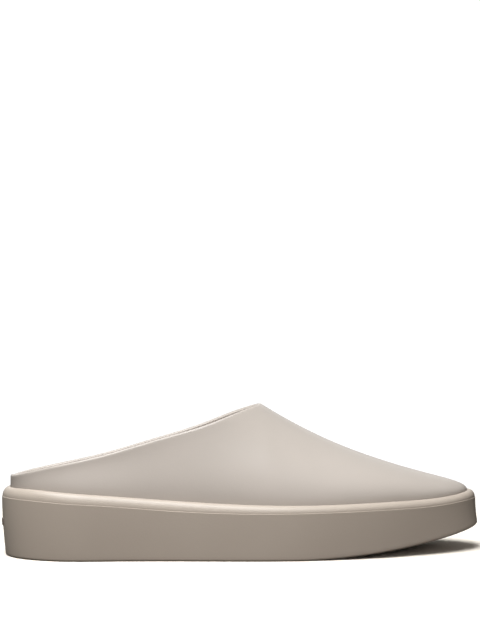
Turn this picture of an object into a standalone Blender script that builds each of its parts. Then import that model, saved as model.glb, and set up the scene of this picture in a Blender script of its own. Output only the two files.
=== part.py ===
"""A slip-on mule of moulded foam, as four solids: sole, upper, insole and heel badge.

It is a right shoe in metres: +X points to the toe, +Z up, and +Y to the inner (medial) side.
The origin is on the floor, at the centre of the shoe's bounding box.
"""
import math

import bpy
import numpy as np
from mathutils import Matrix

MM = 0.001

# Overall sizes of the sole
SOLE_LENGTH = 301.0 * MM      # along the parting line, from heel to toe
HEEL_WIDTH = 76.0 * MM
WAIST_WIDTH = 83.0 * MM
BALL_WIDTH = 105.5 * MM
TOE_WIDTH = 62.0 * MM         # across the toe, 7 % of the length from its tip
HEEL_STACK = 35.6 * MM        # floor to parting line at the heel
FOREFOOT_STACK = 28.6 * MM    # floor to parting line at the ball
TOE_SPRING = 15.2 * MM        # how far the tip of the sole stands off the floor

# Sole details
SHOULDER_WIDTH = 5.2 * MM     # plan width of the rounded shoulder
HEEL_SHOULDER = 6.5 * MM      # rise of the shoulder at the heel
TOE_SHOULDER = 4.5 * MM       # rise of the shoulder at the forefoot
PARTING_STEP = 0.3 * MM       # ledge that the mould's parting line leaves
EDGE_RADIUS = 1.5 * MM        # rounding of the bottom edge
HEEL_DRAFT = 2.2 * MM         # how far the heel wall tapers in towards the floor
TOE_FLARE = 1.3 * MM          # how far the toe wall spreads towards the floor

# Upper, insole and badge
UPPER_WALL = 3.5 * MM
PEAK_RISE = 58.7 * MM         # top of the upper at the instep, above the sole's shoulder there
COLLAR_RISE = 6.1 * MM        # top of the collar at the back of the heel, above the shoulder there
INNER_COLLAR_DROP = 3.6 * MM  # how far the inner side's collar dips below the outer side's
UPPER_TUCK = 7.0 * MM         # depth of the upper's foot in the sole's well
INSOLE_EDGE = 5.6 * MM        # thickness of the insole at its rim
INSOLE_ROUND = 1.0 * MM       # bevel of its top edge
INSOLE_DISH = 2.4 * MM        # how far its middle is dished
BADGE_LENGTH = 16.0 * MM
BADGE_HEIGHT = 4.2 * MM
BADGE_LEVEL = 20.3 * MM       # middle of the badge above the floor
BADGE_PROUD = 0.6 * MM
BADGE_SEAT = 1.2 * MM         # depth of its pocket
GAP = 0.3 * MM                # clearance between neighbouring pieces

# Where along the sole things happen, as shares of its length from the heel
THROAT_AT = 0.543
ROLL_AT = 0.58                # the sole leaves the floor here
SPRING_POWER = 1.9
TOE_END_POWER = 30            # how blunt the upper's toe ends: larger is blunter
END_FADE = 0.06               # length of the upper over which its lean fades in at the heel and toe
DRAFT_POWER = 1.8             # how much the side wall's taper gathers towards the floor

# How the grid lines climb the upper
RIM_PACE = 0.9                # share of the rim that the lines cover at the pace they have at the foot
TOE_EASE = 0.3                # how slowly the lines leave the foot at the toe
HEEL_EASE = 4.0               # the same, added towards the heel
EVEN_UNTIL = 0.1              # lines before this share of the way round climb evenly
STRAIGHT_FROM = 0.3           # lines after this share run straight in plan

# Mesh density
AROUND = 88                   # points round the shoe, a multiple of four
UP = 13                       # rows up the upper
EDGE_STEPS = 3                # steps round the sole's bottom edge
WALL_STEPS = 4                # steps up its side wall
ARC_STEPS = 6                 # steps over its shoulder, and over the upper's rim
ACROSS = 8                    # cells across the insole
BADGE_STEPS = 16              # steps along the badge
SAMPLES = 1200                # points on the curves that are read by arc length

# Plan outline at the parting line. Each half width is its share of the named width, times the sine of the
# station angle, which rounds the heel and the toe.
# along, named width, outer side, inner side
OUTLINE = [
    (0.00, HEEL_WIDTH, 0.985, 0.974),
    (0.05, HEEL_WIDTH, 0.908, 0.875),
    (0.12, HEEL_WIDTH, 0.826, 0.745),
    (0.20, HEEL_WIDTH, 0.712, 0.605),
    (0.30, WAIST_WIDTH, 0.594, 0.468),
    (0.40, WAIST_WIDTH, 0.602, 0.438),
    (0.50, WAIST_WIDTH, 0.639, 0.480),
    (0.60, BALL_WIDTH, 0.530, 0.440),
    (0.70, BALL_WIDTH, 0.538, 0.505),
    (0.80, BALL_WIDTH, 0.533, 0.545),
    (0.90, TOE_WIDTH, 0.880, 0.935),
    (0.96, TOE_WIDTH, 0.870, 0.942),
    (1.00, TOE_WIDTH, 0.870, 0.935),
]

# Parting line of the sole: how much of the way from the forefoot stack to the heel stack, and the same for
# the rise of the shoulder above it.
# along, parting line, shoulder
SIDE_HEIGHTS = [
    (0.00, 1.10, 0.47),
    (0.05, 1.08, 0.90),
    (0.11, 0.93, 0.95),
    (0.20, 0.69, 0.76),
    (0.33, 0.26, 0.77),
    (0.50, -0.01, 0.31),
    (0.65, 0.02, -0.09),
    (0.80, 0.10, -0.03),
    (0.92, 0.27, -0.11),
    (0.965, 0.44, 0.01),
    (1.00, 0.55, 0.46),
]

# How far the side wall tapers in between the parting line and the floor, as shares of the heel's draft and
# of the toe's flare.
# along, heel draft, toe flare
DRAFT = [
    (0.00, 1.00, 0.00),
    (0.15, 0.60, 0.00),
    (0.50, 0.30, 0.00),
    (0.85, 0.15, 0.10),
    (1.00, 0.00, 1.00),
]

# Top edge of the upper, as a share of the way from the collar up to the peak, and how much of the inner
# side's drop is felt.
# along, height, inner drop
TOPLINE = [
    (0.00, 0.000, 0.0),
    (0.04, 0.086, 0.5),
    (0.10, 0.195, 0.9),
    (0.20, 0.342, 1.0),
    (0.32, 0.572, 1.0),
    (0.42, 0.765, 0.8),
    (0.50, 0.948, 0.45),
    (0.543, 1.012, 0.0),
]

# Crest of the last the upper is moulded on, as a share of the peak's rise, read before the toe's end rounds
# it off. Behind the throat it is the crest of the missing ankle.
# along, crest, share of the side wall's lean
CREST = [
    (0.00, 2.20, 0.0),
    (0.20, 2.05, 0.35),
    (0.30, 1.85, 0.38),
    (0.40, 1.52, 0.47),
    (0.48, 1.212, 0.72),
    (0.543, 1.00, 0.96),
    (0.60, 0.833, 1.0),
    (0.67, 0.650, 0.78),
    (0.75, 0.474, 0.27),
    (0.84, 0.316, 0.0),
    (0.90, 0.228, 0.0),
    (0.95, 0.160, 0.0),
    (0.985, 0.115, 0.0),
]
LEAN = 9.0 * MM               # most that the side wall leans in, gathered at the middle of its height


def spline(rows, column, at):
    """Natural cubic spline through one column of a table, read at the stations."""
    x = np.array([row[0] for row in rows])
    y = np.array([row[column] for row in rows])
    at = np.clip(at, x[0], x[-1])
    gap = np.diff(x)
    slope = np.diff(y) / gap
    matrix = np.eye(len(x))
    right = np.zeros(len(x))
    for i in range(1, len(x) - 1):
        matrix[i, i - 1:i + 2] = gap[i - 1], 2 * (gap[i - 1] + gap[i]), gap[i]
        right[i] = 6 * (slope[i] - slope[i - 1])
    bend = np.linalg.solve(matrix, right)
    i = np.clip(np.searchsorted(x, at) - 1, 0, len(x) - 2)
    a = (x[i + 1] - at) / gap[i]
    b = 1 - a
    sag = ((a ** 3 - a) * bend[i] + (b ** 3 - b) * bend[i + 1]) * gap[i] ** 2 / 6
    return a * y[i] + b * y[i + 1] + sag


def station(x):
    """Share of the sole's length, from the heel."""
    return np.asarray(x) / SOLE_LENGTH + 0.5


OUTLINE_SIZED = [(along, width * outer, width * inner) for along, width, outer, inner in OUTLINE]


def parting_outline(angle):
    """Plan point of the parting line. The angle runs from the heel, by the outer side, to the toe at pi."""
    along = (1 - np.cos(angle)) / 2
    outer = np.sin(angle) > 0
    half = np.where(outer, spline(OUTLINE_SIZED, 1, along), spline(OUTLINE_SIZED, 2, along))
    return np.stack([SOLE_LENGTH * (along - 0.5), -half * np.sin(angle)], axis=-1)


def outline(angle, inset=0.0):
    """Plan point and outward normal of the outline, moved inwards by the inset."""
    step = 1e-4
    ahead = parting_outline(angle + step)
    behind = parting_outline(angle - step)
    run = ahead - behind
    run /= np.linalg.norm(run, axis=-1, keepdims=True)
    normal = np.stack([run[..., 1], -run[..., 0]], axis=-1)
    return parting_outline(angle) - np.asarray(inset)[..., None] * normal, normal


def parting_height(x):
    return FOREFOOT_STACK + spline(SIDE_HEIGHTS, 1, station(x)) * (HEEL_STACK - FOREFOOT_STACK)


def shoulder_height(x):
    """Top of the sole's shoulder, where the upper comes out."""
    rise = TOE_SHOULDER + spline(SIDE_HEIGHTS, 2, station(x)) * (HEEL_SHOULDER - TOE_SHOULDER)
    return parting_height(x) + rise


def floor_height(x):
    """Underside of the sole: flat, then rising to the toe."""
    share = np.clip((station(x) - ROLL_AT) / (1 - ROLL_AT), 0, None)
    return TOE_SPRING * share ** SPRING_POWER


def well_height(x):
    return shoulder_height(x) - UPPER_TUCK - GAP


THROAT_X = SOLE_LENGTH * (THROAT_AT - 0.5)
ANGLES = np.arange(AROUND) * 2 * math.pi / AROUND
HALF = AROUND // 2


def build_object(name, points, faces, colour, roughness):
    """A shaded object from points and faces, with its own material."""
    mesh = bpy.data.meshes.new(name)
    mesh.from_pydata([tuple(p) for p in points], [], [tuple(int(i) for i in face) for face in faces])
    mesh.validate()
    mesh.shade_smooth()
    mesh.set_sharp_from_angle(angle=math.radians(35))
    material = bpy.data.materials.new(name)
    material.use_nodes = True
    shader = material.node_tree.nodes["Principled BSDF"]
    shader.inputs["Base Color"].default_value = (*colour, 1.0)
    shader.inputs["Roughness"].default_value = roughness
    shader.inputs["Metallic"].default_value = 0.0
    mesh.materials.append(material)
    made = bpy.data.objects.new(name, mesh)
    bpy.context.scene.collection.objects.link(made)
    return made


def ring_faces(rings, count):
    """Quads between each ring of points and the next, where every ring has the same count."""
    faces = []
    for r in range(rings - 1):
        for k in range(count):
            after = (k + 1) % count
            faces.append((r * count + k, r * count + after, (r + 1) * count + after, (r + 1) * count + k))
    return faces


def ladder_faces(start, count, upward):
    """Fills a ring with rungs from its outer side to its inner side."""
    faces = []
    for k in range(count // 2):
        left, left_after = start + k, start + k + 1
        right, right_after = start + (count - k) % count, start + count - k - 1
        corners = [left, left_after, right_after, right]
        corners = [c for i, c in enumerate(corners) if c not in corners[:i]]
        faces.append(corners if upward else corners[::-1])
    return faces


def ring(inset, height):
    """A closed ring of points at an inset of the outline, with its height a function of x."""
    plan, _ = outline(ANGLES, inset)
    return np.column_stack([plan, height(plan[:, 0])])


def wall_inset(angle, share):
    """How far the side wall stands in from the parting line, at a share of its height."""
    along = (1 - np.cos(angle)) / 2
    draft = spline(DRAFT, 1, along) * HEEL_DRAFT - spline(DRAFT, 2, along) * TOE_FLARE
    return draft * (1 - share) ** DRAFT_POWER


def sole_rings():
    """Rings from the edge of the underside, up the wall, over the shoulder and down into the well."""
    rings = []
    low = wall_inset(ANGLES, 0.0)
    for turn in np.linspace(0, math.pi / 2, EDGE_STEPS + 1):
        inset = low + EDGE_RADIUS * (1 - math.sin(turn))
        lift = EDGE_RADIUS * (1 - math.cos(turn))
        rings.append(ring(inset, lambda x, lift=lift: floor_height(x) + lift))
    for share in np.linspace(0, 1, WALL_STEPS + 1)[1:]:
        def wall(x, share=share):
            foot = floor_height(x) + EDGE_RADIUS
            return foot + share * (parting_height(x) - foot)
        rings.append(ring(wall_inset(ANGLES, share), wall))
    span = SHOULDER_WIDTH - GAP - PARTING_STEP
    for turn in np.linspace(0, math.pi / 2, ARC_STEPS + 1):
        inset = PARTING_STEP + span * (1 - math.cos(turn))

        def shoulder(x, turn=turn):
            foot = parting_height(x) + PARTING_STEP / 2
            return foot + (shoulder_height(x) - foot) * math.sin(turn)
        rings.append(ring(np.full(AROUND, inset), shoulder))
    rings.append(ring(np.full(AROUND, SHOULDER_WIDTH - GAP), well_height))
    return rings


def build_sole():
    rings = sole_rings()
    faces = ring_faces(len(rings), AROUND)
    faces += ladder_faces(0, AROUND, upward=False)
    faces += ladder_faces((len(rings) - 1) * AROUND, AROUND, upward=True)
    return build_object("sole", np.vstack(rings), faces, (0.42, 0.37, 0.32), 0.6)


def half_width_reader(side):
    """Reads the half width of the upper's foot on one side, at any x."""
    sweep = np.linspace(0, math.pi, SAMPLES)
    angle = sweep if side < 0 else 2 * math.pi - sweep
    plan, _ = outline(angle, SHOULDER_WIDTH)
    x = np.maximum.accumulate(plan[:, 0])
    y = np.abs(plan[:, 1])

    def read(at):
        return np.interp(at, x, y)
    read.ends = x[0], x[-1]
    return read


def toe_rounding(x, ends):
    """Falls from one to nothing over the last stretch before the upper's toe."""
    share = np.clip((x - ends[0]) / (ends[1] - ends[0]), 0, 1)
    return np.sqrt(np.clip(1 - share ** TOE_END_POWER, 0, 1))


def end_fade(x, ends):
    """Zero at the heel and the toe of the upper, one between them."""
    share = np.clip((x - ends[0]) / (ends[1] - ends[0]), 0, 1)
    return np.clip(share * (1 - share) / END_FADE, 0, 1) ** 0.5


def crest_rise(x, ends):
    """Height of the last's crest above the upper's foot."""
    return spline(CREST, 1, station(x)) * PEAK_RISE * toe_rounding(x, ends)


def topline_height(x, side):
    along = np.minimum(station(x), THROAT_AT)
    low = shoulder_height(-SOLE_LENGTH / 2) + COLLAR_RISE
    high = shoulder_height(THROAT_X) + PEAK_RISE
    height = low + spline(TOPLINE, 1, along) * (high - low)
    return height - (spline(TOPLINE, 2, along) * INNER_COLLAR_DROP if side > 0 else 0)


def lean(x, rise, ends):
    """How far the side wall leans in at a rise above the upper's foot."""
    rim = topline_height(x, -1) - shoulder_height(x)
    ridge = np.maximum(np.minimum(rim, crest_rise(x, ends)), MM)
    gathered = (1 - np.cos(math.pi * np.clip(rise / ridge, 0, 1))) / 2
    return spline(CREST, 2, station(x)) * LEAN * gathered * end_fade(x, ends)


def upper_half(side, lines, rows):
    """Outside of the upper on one side: lines from heel to toe, rows from foot to rim."""
    read = half_width_reader(side)
    ends = read.ends
    angle = np.linspace(0, math.pi, lines)
    foot, _ = outline(angle if side < 0 else 2 * math.pi - angle, SHOULDER_WIDTH)
    foot_x, foot_y = np.clip(foot[:, 0], *ends), np.abs(foot[:, 1])

    def arc_share(x, y):
        run = np.concatenate([[0], np.cumsum(np.hypot(np.diff(x), np.diff(y)))])
        return run, run / run[-1]

    # The rim, sampled closely from the heel to the throat
    reach = np.linspace(1, 0, SAMPLES)
    rim_x = THROAT_X - (THROAT_X - ends[0]) * reach ** 2
    cut = topline_height(rim_x, side) - UPPER_WALL / 2 - shoulder_height(rim_x)
    full = crest_rise(rim_x, ends) - UPPER_WALL / 2 * (1 - reach)
    climb = np.clip(cut / full, 0, 1)
    rim_y = read(rim_x) * np.sqrt(1 - climb ** 2)
    rim_run, rim_share = arc_share(rim_x, rim_y)
    foot_run, foot_share = arc_share(foot_x, foot_y)
    pace = foot_run[-1] / rim_run[-1]
    wanted = RIM_PACE * (1 - (1 - foot_share) ** (pace / RIM_PACE)) + (1 - RIM_PACE) * foot_share
    top_x = np.interp(wanted, rim_share, rim_x)
    top_y = np.interp(wanted, rim_share, rim_y)

    # Straight lines in plan from the foot to the rim. Towards the heel they climb evenly instead.
    front = np.linspace(0, 1, lines)[:, None]
    row = np.linspace(0, 1, rows)[None, :]
    ease = TOE_EASE + HEEL_EASE * (1 - front) ** 2
    gone = row ** 2 * (1 + ease) / (row + ease)
    x = foot_x[:, None] + (top_x - foot_x)[:, None] * gone
    y = foot_y[:, None] + (top_y - foot_y)[:, None] * gone
    width = read(x)
    ratio = np.clip(y / np.maximum(width, 1e-9), 0, 1)
    ratio[:, 0] = 1
    turn_plan = np.arccos(ratio)
    turn_even = np.interp(wanted, rim_share, np.arcsin(climb))[:, None] * row
    mix = np.clip((front - EVEN_UNTIL) / (STRAIGHT_FROM - EVEN_UNTIL), 0, 1)
    turn = turn_even + (turn_plan - turn_even) * mix * mix * (3 - 2 * mix)
    rise = crest_rise(x, ends) * np.sin(turn)
    y = (width - lean(x, rise, ends)) * np.cos(turn)
    return np.stack([x, side * y, shoulder_height(x) + rise], axis=-1)


def upper_grid(around, rows):
    """Grid of points on the outside of the upper, closed round the shoe."""
    outer = upper_half(-1, around // 2 + 1, rows)
    inner = upper_half(1, around // 2 + 1, rows)
    return np.concatenate([outer, inner[-2:0:-1]])


def unit(vectors):
    return vectors / np.maximum(np.linalg.norm(vectors, axis=-1, keepdims=True), 1e-12)


def build_upper():
    grid = upper_grid(AROUND, UP)
    _, plan_normal = outline(ANGLES, SHOULDER_WIDTH)
    along = np.roll(grid, -1, axis=0) - np.roll(grid, 1, axis=0)
    climb = np.gradient(grid, axis=1)
    normal = unit(np.cross(along, climb))
    normal[:, 0] = np.column_stack([plan_normal, np.zeros(AROUND)])
    if (normal[:, UP // 2, :2] * plan_normal).sum() < 0:
        normal[:, 1:] *= -1
    rim_out = unit(np.cross(normal[:, -1], unit(along[:, -1])))
    rim_out *= np.sign((rim_out * climb[:, -1]).sum(axis=-1, keepdims=True))

    down = np.array([0, 0, -UPPER_TUCK])
    rings = [grid[:, 0] + down]
    rings += [grid[:, j] for j in range(UP)]
    middle = grid[:, -1] - normal[:, -1] * UPPER_WALL / 2
    for turn in np.linspace(0, math.pi, ARC_STEPS + 1)[1:-1]:
        rings.append(middle + UPPER_WALL / 2 * (math.cos(turn) * normal[:, -1] + math.sin(turn) * rim_out))
    inside = grid - UPPER_WALL * normal
    rings += [inside[:, j] for j in range(UP - 1, -1, -1)]
    rings.append(inside[:, 0] + down)
    faces = ring_faces(len(rings), AROUND)
    last = (len(rings) - 1) * AROUND
    for k in range(AROUND):
        after = (k + 1) % AROUND
        faces.append((last + k, last + after, after, k))
    return build_object("upper", np.vstack(rings), faces, (0.56, 0.51, 0.46), 0.55)


def build_insole():
    """A dished footbed inside the upper's foot, resting in the sole's well."""
    inset = SHOULDER_WIDTH + UPPER_WALL + GAP
    edge = np.full(AROUND, inset)

    def under(x):
        return well_height(x) + GAP
    rings = [
        ring(edge, under),
        ring(edge, lambda x: under(x) + INSOLE_EDGE - INSOLE_ROUND),
        ring(edge + INSOLE_ROUND, lambda x: under(x) + INSOLE_EDGE),
    ]
    points = np.vstack(rings)
    faces = ring_faces(len(rings), AROUND) + ladder_faces(0, AROUND, upward=False)

    # The top is a grid of rungs from the outer side to the inner side, dished between them
    rim = rings[-1]
    first = len(points)
    rows = []
    inside = []
    for k in range(HALF + 1):
        outer, inner = 2 * AROUND + k, 2 * AROUND + (AROUND - k) % AROUND
        if outer == inner:
            rows.append([outer] * (ACROSS + 1))
            continue
        row = [outer]
        fade = min(1.0, 4 * k * (HALF - k) / HALF ** 2)
        for j in range(1, ACROSS):
            share = j / ACROSS
            point = rim[k] * (1 - share) + rim[-k] * share
            point[2] -= INSOLE_DISH * fade * (1 - (2 * share - 1) ** 4)
            row.append(first + len(inside))
            inside.append(point)
        rows.append(row + [inner])
    for near, far in zip(rows, rows[1:]):
        for j in range(ACROSS):
            corners = [near[j], far[j], far[j + 1], near[j + 1]]
            faces.append([c for i, c in enumerate(corners) if c not in corners[:i]])
    return build_object("insole", np.vstack([points, inside]), faces, (0.50, 0.45, 0.40), 0.7)


def heel_bar(name, length, height, proud, depth, colour):
    """A bar that follows the back of the heel's side wall."""
    turns = np.linspace(-1, 1, BADGE_STEPS + 1) * math.asin(length / 2 / OUTLINE_SIZED[0][1])
    rings = []
    for low, inset in ((-1, -proud), (1, -proud), (1, depth), (-1, depth)):
        level = BADGE_LEVEL + low * height / 2
        share = (level - EDGE_RADIUS) / (HEEL_STACK - EDGE_RADIUS)
        plan, _ = outline(turns, wall_inset(np.abs(turns), share) + inset)
        rings.append(np.column_stack([plan, np.full(len(turns), level)]))
    count = len(turns)
    points = np.stack(rings, axis=1).reshape(-1, 3)
    faces = []
    for k in range(count - 1):
        for j in range(4):
            after = (j + 1) % 4
            faces.append((4 * k + 4 + j, 4 * k + 4 + after, 4 * k + after, 4 * k + j))
    faces.append((0, 1, 2, 3))
    last = 4 * (count - 1)
    faces.append((last + 3, last + 2, last + 1, last))
    return build_object(name, points, faces, colour, 0.5)


def build_badge(sole):
    """A blank badge in a pocket cut in the back of the sole."""
    colour = (0.36, 0.31, 0.27)
    badge = heel_bar("heel_badge", BADGE_LENGTH, BADGE_HEIGHT, BADGE_PROUD, BADGE_SEAT, colour)
    length, height = BADGE_LENGTH + 2 * GAP, BADGE_HEIGHT + 2 * GAP
    pocket = heel_bar("badge_pocket", length, height, 4 * BADGE_PROUD, BADGE_SEAT + GAP, colour)
    pocket.hide_render = True
    pocket.display_type = "WIRE"
    cut = sole.modifiers.new("badge pocket", "BOOLEAN")
    cut.operation = "DIFFERENCE"
    cut.solver = "EXACT"
    cut.object = pocket
    return badge, pocket


def centre(pieces, others):
    """Moves every mesh so that the bounding box of the pieces is centred on the origin in plan."""
    points = np.array([vertex.co for piece in pieces for vertex in piece.data.vertices])
    middle = (points.min(axis=0) + points.max(axis=0)) / 2
    for piece in pieces + others:
        piece.data.transform(Matrix.Translation((-middle[0], -middle[1], 0)))


def main():
    for old in list(bpy.data.objects):
        bpy.data.objects.remove(old)
    sole = build_sole()
    upper = build_upper()
    insole = build_insole()
    badge, pocket = build_badge(sole)
    centre([sole, upper, insole, badge], [pocket])


main()
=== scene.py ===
# %% [markdown]
# This script dresses one right mule of moulded foam for a product picture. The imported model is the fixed
# frame: it gives the real size and place of the sole, the upper, the insole and the heel badge.
# Everything below is in metres, with X from the heel to the toe, Z up, and the outer side of the shoe
# facing minus Y.

import math

import bpy
import numpy as np
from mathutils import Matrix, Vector


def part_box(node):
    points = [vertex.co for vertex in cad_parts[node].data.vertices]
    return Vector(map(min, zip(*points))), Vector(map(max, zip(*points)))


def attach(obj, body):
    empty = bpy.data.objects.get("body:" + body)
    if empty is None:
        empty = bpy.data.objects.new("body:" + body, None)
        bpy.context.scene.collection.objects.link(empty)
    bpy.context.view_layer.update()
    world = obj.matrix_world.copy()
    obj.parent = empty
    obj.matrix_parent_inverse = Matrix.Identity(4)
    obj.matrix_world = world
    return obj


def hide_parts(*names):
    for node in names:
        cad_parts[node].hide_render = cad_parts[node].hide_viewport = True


MM = 0.001
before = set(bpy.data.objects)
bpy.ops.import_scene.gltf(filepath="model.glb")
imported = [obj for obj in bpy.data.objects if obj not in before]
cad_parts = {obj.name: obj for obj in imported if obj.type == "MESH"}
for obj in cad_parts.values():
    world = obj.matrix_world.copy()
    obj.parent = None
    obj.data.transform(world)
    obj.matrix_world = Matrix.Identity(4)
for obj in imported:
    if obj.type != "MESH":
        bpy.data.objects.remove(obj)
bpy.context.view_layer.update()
print("nodes:", sorted(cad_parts))

# %% [markdown]
# A product photographer stands well back and uses a long lens, so that the shoe isn't distorted. The
# camera is level, about hand high above the table, and one metre away. The shoe is turned a little, so
# its toe is farther from the camera than its heel. The lens is worked out in the same way as on a real
# camera with a 36 mm sensor.

# %% Camera
CAMERA_DISTANCE = 1003.4 * MM
CAMERA_HEIGHT = 140.0 * MM
CAMERA_TURN = math.radians(6.52)    # how far the shoe's toe turns away
CAMERA_TILT = math.radians(0.30)    # how far the camera looks up
CAMERA_SIDE = -1.9 * MM             # sideways from the middle of the shoe
CAMERA_BACK = 2.9 * MM              # how far beyond the shoe's middle line the distance starts
LENS = 88.9                         # focal length in millimetres
SENSOR = 36.0                       # width in millimetres

camera_data = bpy.data.cameras.new("product_camera")
camera_data.lens = LENS
camera_data.sensor_width = SENSOR
camera = bpy.data.objects.new("product_camera", camera_data)
bpy.context.scene.collection.objects.link(camera)
camera.location = (
    CAMERA_SIDE * math.cos(CAMERA_TURN) - CAMERA_DISTANCE * math.sin(CAMERA_TURN),
    CAMERA_BACK - CAMERA_SIDE * math.sin(CAMERA_TURN) - CAMERA_DISTANCE * math.cos(CAMERA_TURN),
    CAMERA_HEIGHT,
)
camera.rotation_euler = (math.pi / 2 + CAMERA_TILT, 0, -CAMERA_TURN)
bpy.context.scene.camera = camera
print("camera at", [round(v, 3) for v in camera.location])

# %% [markdown]
# Three small helpers serve every material. Colours are picked as sRGB hex values, as a designer's swatch
# gives them, and Blender's shaders want linear numbers, so one function converts. One empties a node tree
# to build on. The last one adds a node with its settings, and links whatever sockets it is given.

# %% Helpers for colours and nodes
WHITE = (1.0, 1.0, 1.0, 1.0)


def linear(hex_colour):
    """A shader colour from an sRGB hex value."""
    parts = [int(hex_colour[i:i + 2], 16) / 255 for i in (1, 3, 5)]
    return (*[p / 12.92 if p <= 0.04045 else ((p + 0.055) / 1.055) ** 2.4 for p in parts], 1.0)


def blank_tree(owner):
    """The emptied node tree of a material or of the world."""
    owner.use_nodes = True
    owner.node_tree.nodes.clear()
    return owner.node_tree


def add_node(tree, kind, settings=(), **sockets):
    """A node with its settings. A socket takes a value, or another node's output.

    A socket is given by its name with _ for each space, or as in0, in1 and so on by its place.
    """
    made = tree.nodes.new(kind)
    for name, value in dict(settings).items():
        setattr(made, name, value)
    for name, value in sockets.items():
        key = int(name[2:]) if name.startswith("in") else name.replace("_", " ")
        socket = made.inputs[key]
        if isinstance(value, bpy.types.NodeSocket):
            tree.links.new(value, socket)
        else:
            socket.default_value = value
    return made


print("a mid grey is", [round(v, 3) for v in linear("#808080")])

# %% [markdown]
# The studio is a white sweep under large softboxes. A retoucher has cut the floor out to pure white and
# kept only the dark shadow that clings to the shoe. A real white floor would also throw light back at the
# sides of the shoe and flatten them, so this floor is white for the camera and darker for the light that
# bounces off it. The cut-out could be done afterwards in a picture editor, but here the Light Path node
# tells the two apart in the render itself. The world works in the same way: white behind the shoe, dim
# all around it.

# %% Studio floor and world
FLOOR_SIZE = 12.0                   # metres
FLOOR_WHITE = "#FFF6EA"             # warm paper, as the picture's shadow is warm
FLOOR_BOUNCE = "#5A5854"            # what the floor gives back to the shoe
FADE_FROM, FADE_TO = 0.22, 0.45     # metres from the middle of the shoe, over which shadows fade out
AMBIENT = 0.03
BACKDROP_WHITE = 1.1                # just over 1, so that it comes out pure white


def seen_or_lit(tree, seen, lit):
    """Mixes two shaders: the first for what the camera sees, the second for the light that is passed on."""
    path = add_node(tree, "ShaderNodeLightPath")
    return add_node(tree, "ShaderNodeMixShader", in0=path.outputs["Is Camera Ray"], in1=lit, in2=seen)


def studio_floor():
    """A large white plane at the height that the sole stands on."""
    half = FLOOR_SIZE / 2
    corners = [(-half, -half, 0), (half, -half, 0), (half, half, 0), (-half, half, 0)]
    mesh = bpy.data.meshes.new("studio_floor")
    mesh.from_pydata(corners, [], [(0, 1, 2, 3)])
    material = bpy.data.materials.new("white_sweep")
    tree = blank_tree(material)
    paper = add_node(tree, "ShaderNodeBsdfDiffuse", Color=linear(FLOOR_WHITE))
    blank = add_node(tree, "ShaderNodeEmission", Color=WHITE, Strength=BACKDROP_WHITE)
    place = add_node(tree, "ShaderNodeTexCoord").outputs["Object"]
    away = add_node(tree, "ShaderNodeVectorMath", {"operation": "LENGTH"}, Vector=place)
    fade = add_node(tree, "ShaderNodeMapRange", Value=away.outputs["Value"],
                    From_Min=FADE_FROM, From_Max=FADE_TO)
    seen = add_node(tree, "ShaderNodeMixShader", in0=fade.outputs[0],
                    in1=paper.outputs[0], in2=blank.outputs[0])
    lit = add_node(tree, "ShaderNodeBsdfDiffuse", Color=linear(FLOOR_BOUNCE))
    mix = seen_or_lit(tree, seen.outputs[0], lit.outputs[0])
    add_node(tree, "ShaderNodeOutputMaterial", Surface=mix.outputs[0])
    mesh.materials.append(material)
    floor = bpy.data.objects.new("studio_floor", mesh)
    bpy.context.scene.collection.objects.link(floor)


def studio_world():
    """White where the camera looks past the floor, dim for everything else."""
    world = bpy.data.worlds.new("studio")
    tree = blank_tree(world)
    seen = add_node(tree, "ShaderNodeBackground", Color=WHITE, Strength=BACKDROP_WHITE)
    lit = add_node(tree, "ShaderNodeBackground", Color=WHITE, Strength=AMBIENT)
    mix = seen_or_lit(tree, seen.outputs[0], lit.outputs[0])
    add_node(tree, "ShaderNodeOutputWorld", Surface=mix.outputs[0])
    bpy.context.scene.world = world


studio_floor()
studio_world()
bpy.context.scene.view_settings.view_transform = "Standard"
print("floor and world ready")

# %% [markdown]
# Five softboxes light the shoe, and each has its own work. The overhead one is the strongest. It makes
# the shoulder of the sole and the top of the vamp bright. A small key box, high on the camera's side,
# lays the broad sheen on the vamp. The front box, towards the heel, lifts the wall at the heel, so that
# the wall gets darker towards the toe. A low strip fills the upright side wall. The back box keeps the
# crest from going dark against the white. The upper boxes are a touch cooler than the lower ones, which
# is why the wall looks warmer than the vamp. A ready-made studio panorama could light the shoe too, but
# separate boxes can be set one by one. Their strengths were found by rendering each box alone and solving
# for a mix that comes close to the picture's tones.

# %% Softboxes
# Each row: name, breadth and height in metres, place in metres, watts, colour
SOFTBOXES = [
    ("overhead_softbox", (0.8, 0.8), (-0.30, -0.20, 1.40), 27.0, (0.97, 0.99, 1.0)),
    ("key_softbox", (0.3, 0.3), (-0.10, -0.70, 1.15), 5.0, (0.94, 0.975, 1.0)),
    ("front_softbox", (0.8, 0.8), (-0.50, -1.00, 1.00), 5.8, (1.0, 0.97, 0.955)),
    ("low_strip", (1.2, 0.6), (0.00, -1.70, 0.50), 6.2, (1.0, 0.92, 0.87)),
    ("back_softbox", (1.6, 0.8), (0.00, 1.40, 0.60), 3.4, (1.0, 1.0, 1.0)),
]
AIM = Vector((0.0, 0.0, 0.03))      # the middle of the shoe, which every box faces


def softbox(name, size, place, watts, colour):
    """A rectangular area light that faces the shoe."""
    light = bpy.data.lights.new(name, "AREA")
    light.shape = "RECTANGLE"
    light.size, light.size_y = size
    light.energy = watts
    light.color = colour
    lamp = bpy.data.objects.new(name, light)
    bpy.context.scene.collection.objects.link(lamp)
    lamp.location = place
    lamp.rotation_euler = (AIM - lamp.location).to_track_quat("-Z", "Y").to_euler()


for name, size, place, watts, colour in SOFTBOXES:
    softbox(name, size, place, watts, colour)
print("softboxes:", len(SOFTBOXES))

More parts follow.
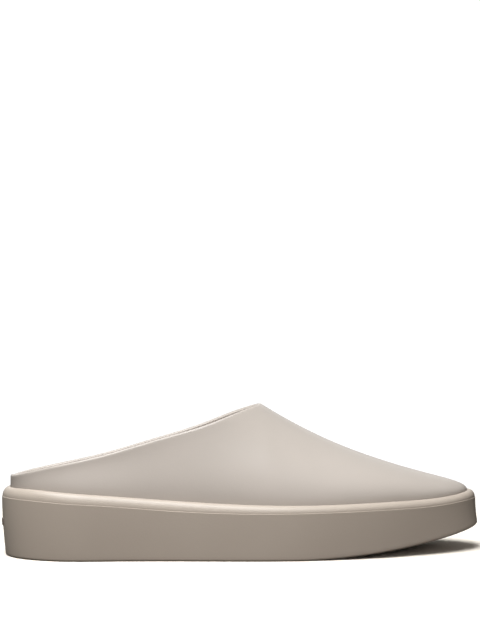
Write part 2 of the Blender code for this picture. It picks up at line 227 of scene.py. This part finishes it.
# %% [markdown]
# The whole shoe is EVA, a closed-cell foam that is moulded hot between polished or lightly blasted steel.
# Its skin comes out satin to matt, with a very fine grain, and thick pieces show faint, broad clouds of
# tone where the foam cooled unevenly. One flat colour would look like paint, so two noises break it up:
# a fine one for the grain and the gloss, and a broad one for the tone. One function makes the material.
# It takes the colour of the batch, and how rough and how coarse the mould's surface was. EVA has an IOR
# of 1.48 to 1.50. The upper and the sole are a warm beige grey and satin, which gives the vamp its soft
# sheen. The footbed comes from a blasted mould and is matt, and the badge is a darker batch of the same
# foam.

# %% Moulded EVA foam
EVA_IOR = 1.50
GRAIN = 1.1 * MM          # real grain is near 0.3 mm: drawn coarser, so that it shows in the picture
BLASTED_GRAIN = 1.8 * MM  # real blasted grain is near 0.5 mm: drawn coarser in the same way
GRAIN_HEIGHT = 0.2 * MM
GLOSS_SPREAD = 0.05       # how far the roughness goes up and down with the grain
CLOUD = 55.0 * MM         # breadth of the tone clouds


def moulded_eva(name, hex_colour, hex_cloud, roughness, grain=GRAIN, relief=0.18):
    """EVA foam with a fine grain and faint clouds of tone."""
    material = bpy.data.materials.new(name)
    tree = blank_tree(material)
    place = add_node(tree, "ShaderNodeTexCoord").outputs["Object"]
    clouds = add_node(tree, "ShaderNodeTexNoise", Vector=place, Scale=1 / CLOUD, Detail=3.0, Roughness=0.5)
    tone = add_node(tree, "ShaderNodeMix", {"data_type": "RGBA"}, in0=clouds.outputs["Fac"],
                    in6=linear(hex_colour), in7=linear(hex_cloud))
    fine = add_node(tree, "ShaderNodeTexNoise", Vector=place, Scale=1 / grain, Detail=4.0, Roughness=0.6)
    bump = add_node(tree, "ShaderNodeBump", Height=fine.outputs["Fac"], Strength=relief,
                    Distance=GRAIN_HEIGHT)
    gloss = add_node(tree, "ShaderNodeMapRange", Value=fine.outputs["Fac"],
                     To_Min=roughness - GLOSS_SPREAD, To_Max=roughness + GLOSS_SPREAD)
    shader = add_node(tree, "ShaderNodeBsdfPrincipled", Base_Color=tone.outputs[2], IOR=EVA_IOR,
                      Roughness=gloss.outputs[0], Normal=bump.outputs[0])
    add_node(tree, "ShaderNodeOutputMaterial", Surface=shader.outputs[0])
    print(name, "roughness", roughness)
    return material


SHELL_EVA = moulded_eva("moulded_eva_upper", "#AEA69E", "#B8AFA7", 0.42)
SOLE_EVA = moulded_eva("moulded_eva_sole", "#ACA094", "#B4A99D", 0.44)
FOOTBED_EVA = moulded_eva("blasted_eva_footbed", "#A0958B", "#A69B91", 0.68, BLASTED_GRAIN, relief=0.35)
BADGE_EVA = moulded_eva("dark_eva_badge", "#6E655D", "#736A62", 0.45)

# %% [markdown]
# The shoe is built over a last, so its shapes are read from short tables along the length, as a pattern
# maker keeps them. The values between the rows come from a natural cubic spline, which is what a flexible
# batten gives when it is bent through the marks. The shapes could be sculpted by eye instead, but a
# number in a table can be compared with the picture and changed by itself. The tables hold shares of
# named sizes. They match those of the CAD model, and the scene's meshes are only finer.

# %% Named sizes and the batten
SOLE_LENGTH = 301.0 * MM
HEEL_WIDTH = 76.0 * MM
WAIST_WIDTH = 83.0 * MM
BALL_WIDTH = 105.5 * MM
TOE_WIDTH = 62.0 * MM
HEEL_STACK = 35.6 * MM
FOREFOOT_STACK = 28.6 * MM
TOE_SPRING = 15.2 * MM
SHOULDER_WIDTH = 5.2 * MM
HEEL_SHOULDER = 6.5 * MM
TOE_SHOULDER = 4.5 * MM
PARTING_STEP = 0.3 * MM
EDGE_RADIUS = 1.5 * MM
HEEL_DRAFT = 2.2 * MM         # how far the wall's foot stands in at the heel
DRAFT_POWER = 1.8             # 1 is a straight wall, and more gathers its slope at the foot
TOE_FLARE = 1.3 * MM          # how far the wall's foot stands out at the toe
UPPER_WALL = 3.5 * MM
UPPER_TUCK = 7.0 * MM         # how deep the upper goes down into the sole
GAP = 0.3 * MM                # clearance between two pieces
ROLL_AT = 0.58                # share of the length where the underside starts to rise
SPRING_POWER = 1.9


def batten(rows, column, at):
    """Natural cubic spline through one column of a table, read at the stations."""
    x = np.array([row[0] for row in rows])
    y = np.array([row[column] for row in rows])
    at = np.clip(at, x[0], x[-1])
    gap = np.diff(x)
    slope = np.diff(y) / gap
    matrix = np.eye(len(x))
    right = np.zeros(len(x))
    for i in range(1, len(x) - 1):
        matrix[i, i - 1:i + 2] = gap[i - 1], 2 * (gap[i - 1] + gap[i]), gap[i]
        right[i] = 6 * (slope[i] - slope[i - 1])
    bend = np.linalg.solve(matrix, right)
    i = np.clip(np.searchsorted(x, at) - 1, 0, len(x) - 2)
    a = (x[i + 1] - at) / gap[i]
    b = 1 - a
    sag = ((a ** 3 - a) * bend[i] + (b ** 3 - b) * bend[i + 1]) * gap[i] ** 2 / 6
    return a * y[i] + b * y[i + 1] + sag


def station(x):
    """Share of the sole's length, from the heel."""
    return np.asarray(x) / SOLE_LENGTH + 0.5


print("sole length in mm:", SOLE_LENGTH / MM)

# %% [markdown]
# The plan outline is the most telling curve of a shoe: a round heel, a waist that is cut in on the inner
# side, the ball, and a toe that leans inwards. Each half width in the table is multiplied by the sine of
# an angle that runs round the shoe. The sine closes the heel and the toe with true round ends, which a
# plain list of widths can't do.

# %% Plan outline of the sole
# Each row: share of the length, a named width, and the shares of it on the outer and the inner side
OUTLINE = [
    (0.00, HEEL_WIDTH, 0.985, 0.974),
    (0.05, HEEL_WIDTH, 0.908, 0.875),
    (0.12, HEEL_WIDTH, 0.826, 0.745),
    (0.20, HEEL_WIDTH, 0.712, 0.605),
    (0.30, WAIST_WIDTH, 0.594, 0.468),
    (0.40, WAIST_WIDTH, 0.602, 0.438),
    (0.50, WAIST_WIDTH, 0.639, 0.480),
    (0.60, BALL_WIDTH, 0.530, 0.440),
    (0.70, BALL_WIDTH, 0.538, 0.505),
    (0.80, BALL_WIDTH, 0.533, 0.545),
    (0.90, TOE_WIDTH, 0.880, 0.935),
    (0.96, TOE_WIDTH, 0.870, 0.942),
    (1.00, TOE_WIDTH, 0.870, 0.935),
]
OUTLINE_SIZED = [(along, width * outer, width * inner) for along, width, outer, inner in OUTLINE]


def parting_outline(angle):
    """Plan point of the parting line. The angle runs from the heel, by the outer side, to the toe at pi."""
    along = (1 - np.cos(angle)) / 2
    outer = np.sin(angle) > 0
    half = np.where(outer, batten(OUTLINE_SIZED, 1, along), batten(OUTLINE_SIZED, 2, along))
    return np.stack([SOLE_LENGTH * (along - 0.5), -half * np.sin(angle)], axis=-1)


def outline(angle, inset=0.0):
    """Plan point and outward normal of the outline, moved inwards by the inset."""
    step = 1e-4
    run = parting_outline(angle + step) - parting_outline(angle - step)
    run /= np.linalg.norm(run, axis=-1, keepdims=True)
    normal = np.stack([run[..., 1], -run[..., 0]], axis=-1)
    return parting_outline(angle) - np.asarray(inset)[..., None] * normal, normal


AROUND = 352
ANGLES = np.arange(AROUND) * 2 * math.pi / AROUND
widest = parting_outline(ANGLES)[:, 1]
print("width at the parting line in mm:", round((widest.max() - widest.min()) / MM, 1))

# %% [markdown]
# From the side, the sole is a wedge: the heel stands higher than the ball. Its underside is flat and then
# sweeps up at the toe, so that the foot can roll. The mould closes along the parting line, and above it
# the shoulder is a soft quarter round that catches the light. Its height changes along the shoe, so it
# has its own column. A flat block could be bent to this profile afterwards, but it is simpler to read
# each height where the point already is.

# %% Heights of the sole
# Each row: share of the length, parting line between the forefoot's stack (0) and the heel's (1), and
# height of the shoulder between the toe's (0) and the heel's (1)
SIDE_HEIGHTS = [
    (0.00, 1.10, 0.47),
    (0.05, 1.08, 0.90),
    (0.11, 0.93, 0.95),
    (0.20, 0.69, 0.76),
    (0.33, 0.26, 0.77),
    (0.50, -0.01, 0.31),
    (0.65, 0.02, -0.09),
    (0.80, 0.10, -0.03),
    (0.92, 0.27, -0.11),
    (0.965, 0.44, 0.01),
    (1.00, 0.55, 0.46),
]
# Each row: share of the length, share of the heel's draft, share of the toe's flare
DRAFT = [
    (0.00, 1.00, 0.00),
    (0.15, 0.60, 0.00),
    (0.50, 0.30, 0.00),
    (0.85, 0.15, 0.10),
    (1.00, 0.00, 1.00),
]


def parting_height(x):
    return FOREFOOT_STACK + batten(SIDE_HEIGHTS, 1, station(x)) * (HEEL_STACK - FOREFOOT_STACK)


def shoulder_height(x):
    """Top of the sole's shoulder, where the upper comes out."""
    rise = TOE_SHOULDER + batten(SIDE_HEIGHTS, 2, station(x)) * (HEEL_SHOULDER - TOE_SHOULDER)
    return parting_height(x) + rise


def floor_height(x):
    """Underside of the sole: flat, then rising to the toe."""
    share = np.clip((station(x) - ROLL_AT) / (1 - ROLL_AT), 0, None)
    return TOE_SPRING * share ** SPRING_POWER


def well_height(x):
    return shoulder_height(x) - UPPER_TUCK - GAP


def wall_inset(angle, share):
    """How far the side wall stands in from the parting line, at a share of its height."""
    along = (1 - np.cos(angle)) / 2
    draft = batten(DRAFT, 1, along) * HEEL_DRAFT - batten(DRAFT, 2, along) * TOE_FLARE
    return draft * (1 - share) ** DRAFT_POWER


print("heel and ball heights in mm:", [round(float(parting_height(x)) / MM, 1) for x in (-0.15, 0.05)])

# %% [markdown]
# The moulded pieces here are stacks of closed rings, one above the other, with quads between them. A
# subdivided cage could give such soft shapes too, but it draws in from its points, and the measured
# outline would be lost. Rings pass through every point, are easy to read, and give an even mesh with no
# stray faces. The open ends are filled with rungs from the outer side to the inner side, like a ladder.

# %% Rings, rungs and pieces
SHARP_ANGLE = math.radians(38)      # edges that bend more than this stay crisp


def ring(inset, height):
    """A closed ring of points at an inset of the outline, with its height a function of x."""
    plan, _ = outline(ANGLES, inset)
    return np.column_stack([plan, height(plan[:, 0])])


def ring_faces(rings, count):
    """Quads between each ring of points and the next."""
    k = np.arange(count)
    after = (k + 1) % count
    return [
        face
        for r in range(rings - 1)
        for face in np.column_stack([k, after, after + count, k + count]) + r * count
    ]


def single(corners):
    """The corners with each repeated one dropped, so that a quad can close to a triangle at an end."""
    return [c for i, c in enumerate(corners) if c not in corners[:i]]


def ladder_faces(start, count, upward):
    """Fills a ring with rungs from its outer side to its inner side."""
    faces = []
    for k in range(count // 2):
        corners = single([start + k, start + k + 1, start + count - k - 1, start + (count - k) % count])
        faces.append(corners if upward else corners[::-1])
    return faces


def make_piece(name, points, faces, material, node):
    """A smooth piece in the frame's place, which stands for its CAD node."""
    placed = (np.asarray(points) + FRAME_SHIFT).tolist()
    mesh = bpy.data.meshes.new(name)
    mesh.from_pydata(placed, [], [[int(i) for i in face] for face in faces])
    mesh.validate()
    mesh.shade_smooth()
    mesh.set_sharp_from_angle(angle=SHARP_ANGLE)
    mesh.materials.append(material)
    piece = bpy.data.objects.new(name, mesh)
    bpy.context.scene.collection.objects.link(piece)
    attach(piece, "root")
    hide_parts(node)
    print(name, "has", len(mesh.polygons), "faces")


print("a ring has", AROUND, "points")

# %% [markdown]
# The sole's rings climb from the underside round its small bottom edge, up the side wall, over the ledge
# that the mould's two halves leave, and over the shoulder. They end in the well that holds the upper and
# the footbed. A Bevel modifier could round the edges, but it has one width, and this shoulder changes its
# height along the shoe.

# %% Rings of the sole
EDGE_STEPS = 6
WALL_STEPS = 14
SHOULDER_STEPS = 16
BORDER = 8.0 * MM         # smooth border round the tread
TREAD_DEPTH = 1.2 * MM


def sole_rings():
    """Every ring of the sole, from the recess of the tread round the outside to the well."""
    foot = wall_inset(ANGLES, 0.0)
    rings = [
        ring(foot + BORDER, lambda x: floor_height(x) + TREAD_DEPTH),
        ring(foot + BORDER - GAP, lambda x: floor_height(x)),
    ]
    for turn in np.linspace(0, math.pi / 2, EDGE_STEPS):
        lift = EDGE_RADIUS * (1 - math.cos(turn))
        inset = foot + EDGE_RADIUS * (1 - math.sin(turn))
        rings.append(ring(inset, lambda x, lift=lift: floor_height(x) + lift))
    for share in np.linspace(0, 1, WALL_STEPS + 1)[1:]:
        def wall(x, share=share):
            low = floor_height(x) + EDGE_RADIUS
            return low + share * (parting_height(x) - low)
        rings.append(ring(wall_inset(ANGLES, share), wall))
    span = SHOULDER_WIDTH - GAP - PARTING_STEP
    for turn in np.linspace(0, math.pi / 2, SHOULDER_STEPS):
        def shoulder(x, turn=turn):
            low = parting_height(x) + PARTING_STEP / 2
            return low + (shoulder_height(x) - low) * math.sin(turn)
        rings.append(ring(np.full(AROUND, PARTING_STEP + span * (1 - math.cos(turn))), shoulder))
    rings.append(ring(np.full(AROUND, SHOULDER_WIDTH - GAP), well_height))
    return rings


SOLE_RINGS = sole_rings()
stacked = np.vstack(SOLE_RINGS)
cad_sole_low, cad_sole_high = (np.array(corner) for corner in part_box("sole"))
middle = (stacked.min(axis=0) + stacked.max(axis=0)) / 2
FRAME_SHIFT = (cad_sole_low + cad_sole_high) / 2 - middle
FRAME_SHIFT[2] = 0.0
print("moved into the frame by, in mm:", (FRAME_SHIFT / MM).round(2))

# %% [markdown]
# Nobody sees the tread in the picture, but the shoe is looked at from below too. A plain tread suits it:
# low ribs across the sole inside a smooth border, each a gentle wave, so that they grip in both
# directions. Bump in the material could fake them, but real ribs cast shadows and stay in the mesh.

# %% Tread ribs
RIB_PITCH = 7.0 * MM
RIB_WIDTH = 4.2 * MM
RIB_WAVE = 1.6 * MM
RIB_WAVELENGTH = 26.0 * MM
RIB_DRAFT = 0.3 * MM      # how much each side of a rib slopes in towards the ground
RIB_STEPS = 40
RIB_MARGIN = 1.5 * MM
BARE_HEEL = 2.0           # pitches left bare at the heel's end and at the toe's
BARE_TOE = 1.5


def tread_field(x):
    """Outer and inner edge of the tread at each x."""
    edge = SOLE_RINGS[0]
    half = AROUND // 2
    outer = edge[:half + 1]
    inner = np.vstack([edge[half:], edge[:1]])[::-1]
    return np.interp(x, outer[:, 0], outer[:, 1]), np.interp(x, inner[:, 0], inner[:, 1])


def rib(x, first):
    """One wavy rib across the sole, as points and faces."""
    outer, inner = tread_field(x)
    y = np.linspace(outer + RIB_MARGIN, inner - RIB_MARGIN, RIB_STEPS)
    line = x + RIB_WAVE * np.cos(2 * math.pi * y / RIB_WAVELENGTH)
    rows = []
    for side, lift in ((-1, TREAD_DEPTH), (-1, 0.0), (1, 0.0), (1, TREAD_DEPTH)):
        half = RIB_WIDTH / 2 - (RIB_DRAFT if lift == 0 else 0)
        place = line + side * half
        rows.append(np.column_stack([place, y, floor_height(place) + lift]))
    points = np.stack(rows, axis=1).reshape(-1, 3)
    faces = []
    for k in range(RIB_STEPS - 1):
        near = first + 4 * k
        far = near + 4
        for j in range(4):
            after = (j + 1) % 4
            faces.append([near + after, near + j, far + j, far + after])
    last = first + 4 * (RIB_STEPS - 1)
    faces.append([first, first + 1, first + 2, first + 3])
    faces.append([last + 3, last + 2, last + 1, last])
    return points, faces


def tread(first):
    """All the ribs from heel to toe, as points and faces."""
    field = SOLE_RINGS[0][:, 0]
    start, stop = field.min() + BARE_HEEL * RIB_PITCH, field.max() - BARE_TOE * RIB_PITCH
    points, faces = [], []
    for x in np.arange(start, stop, RIB_PITCH):
        more_points, more_faces = rib(x, first + sum(len(p) for p in points))
        points.append(more_points)
        faces += more_faces
    print("ribs in the tread:", len(points))
    return np.vstack(points), faces


print("height of the ribs in mm:", TREAD_DEPTH / MM)

# %% [markdown]
# The sole comes out of its mould as one block, so it is one piece here. The rings make its outside, one
# ladder fills the recess of the tread, another fills the floor of the well, and the ribs stand in the
# recess. The ribs could be joined to it with a Boolean, but they only have to touch it to look right.

# %% The sole
sole_points = np.vstack(SOLE_RINGS)
sole_faces = ring_faces(len(SOLE_RINGS), AROUND)
sole_faces += ladder_faces(0, AROUND, upward=False)
sole_faces += ladder_faces((len(SOLE_RINGS) - 1) * AROUND, AROUND, upward=True)
rib_points, rib_faces = tread(len(sole_points))
all_points = np.vstack([sole_points, rib_points])
make_piece("foam_sole", all_points, sole_faces + rib_faces, SOLE_EVA, "sole")

# %% [markdown]
# The upper is a single moulded shell with no seam. On a real one, its shape is that of the last: steep
# sides, a crest that falls from the instep to the toe, and a blunt toe end. Each cross section here is
# half an ellipse between the outline and the crest. Round the throat its wall also leans in, by up to
# 9 mm at the ridge and by nothing at the foot, so that the section is a soft S as on the real vamp. It
# could be sculpted, but a formula for the section leaves no dents for the soft light to find. The top
# edge is then a cut through that surface: low round the heel, and rising to the peak at the throat.

# %% Shape of the last
THROAT_AT = 0.543             # share of the length
THROAT_X = SOLE_LENGTH * (THROAT_AT - 0.5)
PEAK_RISE = 58.7 * MM         # above the sole's shoulder, like the next
COLLAR_RISE = 6.1 * MM
INNER_COLLAR_DROP = 3.6 * MM  # how much lower the top edge is on the inner side
LEAN = 9.0 * MM
TOE_END_POWER = 30            # the higher, the blunter the toe's end
END_FADE = 0.06               # the lean fades out over about this share of the length at each end
SAMPLES = 2400

# Each row: share of the length, height between the collar (0) and the peak (1), share of the inner drop
TOPLINE = [
    (0.00, 0.000, 0.0),
    (0.04, 0.086, 0.5),
    (0.10, 0.195, 0.9),
    (0.20, 0.342, 1.0),
    (0.32, 0.572, 1.0),
    (0.42, 0.765, 0.8),
    (0.50, 0.948, 0.45),
    (0.543, 1.012, 0.0),
]
# Each row: share of the length, height of the crest as a share of the peak's rise, share of the lean
CREST = [
    (0.00, 2.20, 0.0),
    (0.20, 2.05, 0.35),
    (0.30, 1.85, 0.38),
    (0.40, 1.52, 0.47),
    (0.48, 1.212, 0.72),
    (0.543, 1.00, 0.96),
    (0.60, 0.833, 1.0),
    (0.67, 0.650, 0.78),
    (0.75, 0.474, 0.27),
    (0.84, 0.316, 0.0),
    (0.90, 0.228, 0.0),
    (0.95, 0.160, 0.0),
    (0.985, 0.115, 0.0),
]


def half_width_reader(side):
    """Reads the half width of the upper's foot on one side, at any x."""
    sweep = np.linspace(0, math.pi, SAMPLES)
    angle = sweep if side < 0 else 2 * math.pi - sweep
    plan, _ = outline(angle, SHOULDER_WIDTH)
    x = np.maximum.accumulate(plan[:, 0])
    y = np.abs(plan[:, 1])

    def read(at):
        return np.interp(at, x, y)
    read.ends = x[0], x[-1]
    return read


def along_upper(x, ends):
    """Share of the upper's own length, from its heel end."""
    return np.clip((x - ends[0]) / (ends[1] - ends[0]), 0, 1)


def crest_rise(x, ends):
    """Height of the last's crest above the upper's foot, rounded off at the toe's end."""
    blunt = np.sqrt(np.clip(1 - along_upper(x, ends) ** TOE_END_POWER, 0, 1))
    return batten(CREST, 1, station(x)) * PEAK_RISE * blunt


def topline_height(x, side):
    """Height of the upper's top edge. The side is -1 for the outer side and 1 for the inner side."""
    along = np.minimum(station(x), THROAT_AT)
    low = shoulder_height(-SOLE_LENGTH / 2) + COLLAR_RISE
    high = shoulder_height(THROAT_X) + PEAK_RISE
    height = low + batten(TOPLINE, 1, along) * (high - low)
    return height - (batten(TOPLINE, 2, along) * INNER_COLLAR_DROP if side > 0 else 0)


def lean(x, rise, ends):
    """How far the side wall leans in at a rise above the upper's foot."""
    share = along_upper(x, ends)
    fade = np.clip(share * (1 - share) / END_FADE, 0, 1) ** 0.5
    rim = topline_height(x, -1) - shoulder_height(x)
    ridge = np.maximum(np.minimum(rim, crest_rise(x, ends)), MM)
    gathered = (1 - np.cos(math.pi * np.clip(rise / ridge, 0, 1))) / 2
    return batten(CREST, 2, station(x)) * LEAN * gathered * fade


print("peak above the floor in mm:", round(float(topline_height(THROAT_X, -1)) / MM, 1))

# %% [markdown]
# The grid on the upper needs care. Lines start evenly round the foot and have to end evenly along the top
# edge, although the front half of them all meet that edge at the throat. So the lines run straight in
# plan, from the foot to their own share of the rim, and towards the heel, where the wall is upright, they
# climb evenly instead.

# %% Grid of the upper
UP = 46                   # rows from the foot to the rim
RIM_PACE = 0.9            # this share of the lines' spacing on the rim follows the foot's, the rest is even
TOE_EASE = 0.3            # low: the rows spread evenly
HEEL_EASE = 4.0           # high: the rows start slowly and then gain on the rim
EVEN_UNTIL = 0.1          # share of the lines, from the heel, that climb evenly
STRAIGHT_FROM = 0.3       # and from here on they run straight in plan
TINY = 1e-12


def arc_share(x, y):
    """Length of a plan curve, and the share of it that is behind each of its points."""
    run =np.concatenate([[0], np.cumsum(np.hypot(np.diff(x), np.diff(y)))])
    return run[-1], run / run[-1]


def upper_half(side, lines, rows):
    """Outside of the upper on one side: lines from heel to toe, rows from foot to rim."""
    read = half_width_reader(side)
    ends = read.ends
    angle = np.linspace(0, math.pi, lines)
    foot, _ = outline(angle if side < 0 else 2 * math.pi - angle, SHOULDER_WIDTH)
    foot_x, foot_y = np.clip(foot[:, 0], *ends), np.abs(foot[:, 1])

    reach = np.linspace(1, 0, SAMPLES)
    rim_x = THROAT_X - (THROAT_X - ends[0]) * reach ** 2
    cut = topline_height(rim_x, side) - UPPER_WALL / 2 - shoulder_height(rim_x)
    full = crest_rise(rim_x, ends) - UPPER_WALL / 2 * (1 - reach)
    climb = np.clip(cut / full, 0, 1)
    rim_y = read(rim_x) * np.sqrt(1 - climb ** 2)
    rim_run, rim_share = arc_share(rim_x, rim_y)
    foot_run, foot_share = arc_share(foot_x, foot_y)
    paced = 1 - (1 - foot_share) ** (foot_run / rim_run / RIM_PACE)
    wanted = RIM_PACE * paced + (1 - RIM_PACE) * foot_share
    top_x = np.interp(wanted, rim_share, rim_x)
    top_y = np.interp(wanted, rim_share, rim_y)

    front = np.linspace(0, 1, lines)[:, None]
    row = np.linspace(0, 1, rows)[None, :]
    ease = TOE_EASE + HEEL_EASE * (1 - front) ** 2
    gone = row ** 2 * (1 + ease) / (row + ease)
    x = foot_x[:, None] + (top_x - foot_x)[:, None] * gone
    y = foot_y[:, None] + (top_y - foot_y)[:, None] * gone
    width = read(x)
    ratio = np.clip(y / np.maximum(width, TINY), 0, 1)
    ratio[:, 0] = 1
    turn_plan = np.arccos(ratio)
    turn_even = np.interp(wanted, rim_share, np.arcsin(climb))[:, None] * row
    mix = np.clip((front - EVEN_UNTIL) / (STRAIGHT_FROM - EVEN_UNTIL), 0, 1)
    turn = turn_even + (turn_plan - turn_even) * mix * mix * (3 - 2 * mix)
    rise = crest_rise(x, ends) * np.sin(turn)
    y = (width - lean(x, rise, ends)) * np.cos(turn)
    return np.stack([x, side * y, shoulder_height(x) + rise], axis=-1)


outside = np.concatenate([
    upper_half(-1, AROUND // 2 + 1, UP),
    upper_half(1, AROUND // 2 + 1, UP)[-2:0:-1],
])
print("grid of the upper:", outside.shape)

# %% [markdown]
# A moulded shell has a real wall. The inside is the outside moved in by the wall's thickness. The two
# meet in a rim with a nearly flat top and small rounded corners, which is the thin bright line along the
# top edge in the picture. A Solidify modifier could give the wall, but its rim would have sharp corners,
# so the rim gets rings of its own. The foot of the shell goes on down into the sole's well.

# %% The upper
RIM_STEPS = 12
RIM_SQUARE = 3.0          # 2 is a half round, and more makes a flat top with small rounded corners


def unit(vectors):
    return vectors / np.maximum(np.linalg.norm(vectors, axis=-1, keepdims=True), TINY)


def shell_rings(grid):
    """Rings from the foot up the outside, over the rim and down the inside."""
    _, plan_normal = outline(ANGLES, SHOULDER_WIDTH)
    along = np.roll(grid, -1, axis=0) - np.roll(grid, 1, axis=0)
    climb = np.gradient(grid, axis=1)
    normal = unit(np.cross(along, climb))
    normal[:, 0] = np.column_stack([plan_normal, np.zeros(AROUND)])
    if (normal[:, UP // 2, :2] * plan_normal).sum() < 0:
        normal[:, 1:] *= -1
    rim_out = unit(np.cross(normal[:, -1], unit(along[:, -1])))
    rim_out *= np.sign((rim_out * climb[:, -1]).sum(axis=-1, keepdims=True))
    down = np.array([0, 0, -UPPER_TUCK])
    rings = [grid[:, 0] + down] + [grid[:, j] for j in range(UP)]
    middle_line = grid[:, -1] - normal[:, -1] * UPPER_WALL / 2
    for turn in np.linspace(0, math.pi, RIM_STEPS + 1)[1:-1]:
        across = math.copysign(abs(math.cos(turn)) ** (2 / RIM_SQUARE), math.cos(turn))
        rise = math.sin(turn) ** (2 / RIM_SQUARE)
        rings.append(middle_line + UPPER_WALL / 2 * (across * normal[:, -1] + rise * rim_out))
    inside = grid - UPPER_WALL * normal
    rings += [inside[:, j] for j in range(UP - 1, -1, -1)]
    rings.append(inside[:, 0] + down)
    return rings


# The extra row of faces wraps round to the first ring, which closes the shell's lower edge
upper_rings = shell_rings(outside)
count = len(upper_rings) * AROUND
upper_faces = [[i % count for i in face] for face in ring_faces(len(upper_rings) + 1, AROUND)]
make_piece("foam_upper", np.vstack(upper_rings), upper_faces, SHELL_EVA, "upper")

# %% [markdown]
# The footbed is a loose slab of the same foam with a rougher face, so that a foot doesn't slide. It is
# dished along its middle, and its top edge is slightly rounded. Seen from above it fills the floor of the
# shoe. A flat slab could be pushed down with a sculpting brush. Here a net of quads lies between the two
# sides of its edge, and one line of code gives the depth of the dish.

# %% The footbed
INSOLE_EDGE = 5.6 * MM    # thickness at the edge
INSOLE_ROUND = 1.0 * MM
ROUND_STEPS = 5
INSOLE_DISH = 2.4 * MM
DISH_POWER = 4            # 2 is a round dish, and more makes its floor flatter
ACROSS = 32


def footbed():
    """The slab's edge as rings, its underside as a ladder, and its dished top as a net of quads."""
    edge =np.full(AROUND, SHOULDER_WIDTH + UPPER_WALL + GAP)

    def under(x):
        return well_height(x) + GAP
    rings = [ring(edge, under), ring(edge, lambda x: under(x) + INSOLE_EDGE - INSOLE_ROUND)]
    for turn in np.linspace(0, math.pi / 2, ROUND_STEPS)[1:]:
        lift = INSOLE_EDGE - INSOLE_ROUND * (1 - math.sin(turn))
        inset = edge + INSOLE_ROUND * (1 - math.cos(turn))
        rings.append(ring(inset, lambda x, lift=lift: under(x) + lift))
    points = np.vstack(rings)
    faces = ring_faces(len(rings), AROUND) + ladder_faces(0, AROUND, upward=False)
    rim, rim_start, half = rings[-1], (len(rings) - 1) * AROUND, AROUND // 2
    rows, inside = [], []
    for k in range(half + 1):
        outer, inner = rim_start + k, rim_start + (AROUND - k) % AROUND
        if outer == inner:
            rows.append([outer] * (ACROSS + 1))
            continue
        row = [outer]
        fade = min(1.0, 4 * k * (half - k) / half ** 2)
        for j in range(1, ACROSS):
            share = j / ACROSS
            point = rim[k] * (1 - share) + rim[-k] * share
            point[2] -= INSOLE_DISH * fade * (1 - (2 * share - 1) ** DISH_POWER)
            row.append(len(points) + len(inside))
            inside.append(point)
        rows.append(row + [inner])
    for near, far in zip(rows, rows[1:]):
        for j in range(ACROSS):
            faces.append(single([near[j], far[j], far[j + 1], near[j + 1]]))
    points = np.vstack([points, inside])
    make_piece("foam_footbed", points, faces, FOOTBED_EVA, "insole")


footbed()

# %% [markdown]
# A small bar is let into the back of the heel. It is blank here. Its long edges are softened, as on a
# moulded inlay. A bevelled box could be bent with a Curve modifier. Its profile is swept along the heel's
# own outline instead, so that it stands out by the same amount all along.

# %% The heel badge
BADGE_LENGTH = 16.0 * MM
BADGE_HEIGHT = 4.2 * MM
BADGE_LEVEL = 20.3 * MM   # its middle above the floor
BADGE_PROUD = 0.6 * MM    # how far it stands out
BADGE_SEAT = 1.2 * MM     # how deep it is let in
BADGE_SOFT = 0.35 * MM
BADGE_STEPS = 48


def badge():
    """A bar swept round the heel: six corners in its profile, from one end to the other."""
    turns = np.linspace(-1, 1, BADGE_STEPS) * math.asin(BADGE_LENGTH / 2 / OUTLINE_SIZED[0][1])
    half = BADGE_HEIGHT / 2
    profile = [(-half, BADGE_SEAT), (-half, -BADGE_PROUD + BADGE_SOFT)]
    profile += [(-half + BADGE_SOFT, -BADGE_PROUD), (half - BADGE_SOFT, -BADGE_PROUD)]
    profile += [(half, -BADGE_PROUD + BADGE_SOFT), (half, BADGE_SEAT)]
    rings = []
    for level, depth in profile:
        share = (BADGE_LEVEL + level - EDGE_RADIUS) / (HEEL_STACK - EDGE_RADIUS)
        plan, _ = outline(turns, wall_inset(np.abs(turns), share) + depth)
        rings.append(np.column_stack([plan, np.full(len(turns), BADGE_LEVEL + level)]))
    count = len(profile)
    points = np.stack(rings, axis=1).reshape(-1, 3)
    faces = []
    for k in range(BADGE_STEPS - 1):
        near = count * k
        far = near + count
        for j in range(count):
            after = (j + 1) % count
            faces.append([far + j, far + after, near + after, near + j])
    last = count * (BADGE_STEPS - 1)
    faces.append(list(range(count)))
    faces.append([last + j for j in range(count - 1, -1, -1)])
    make_piece("heel_inlay", points, faces, BADGE_EVA, "heel_badge")


badge()
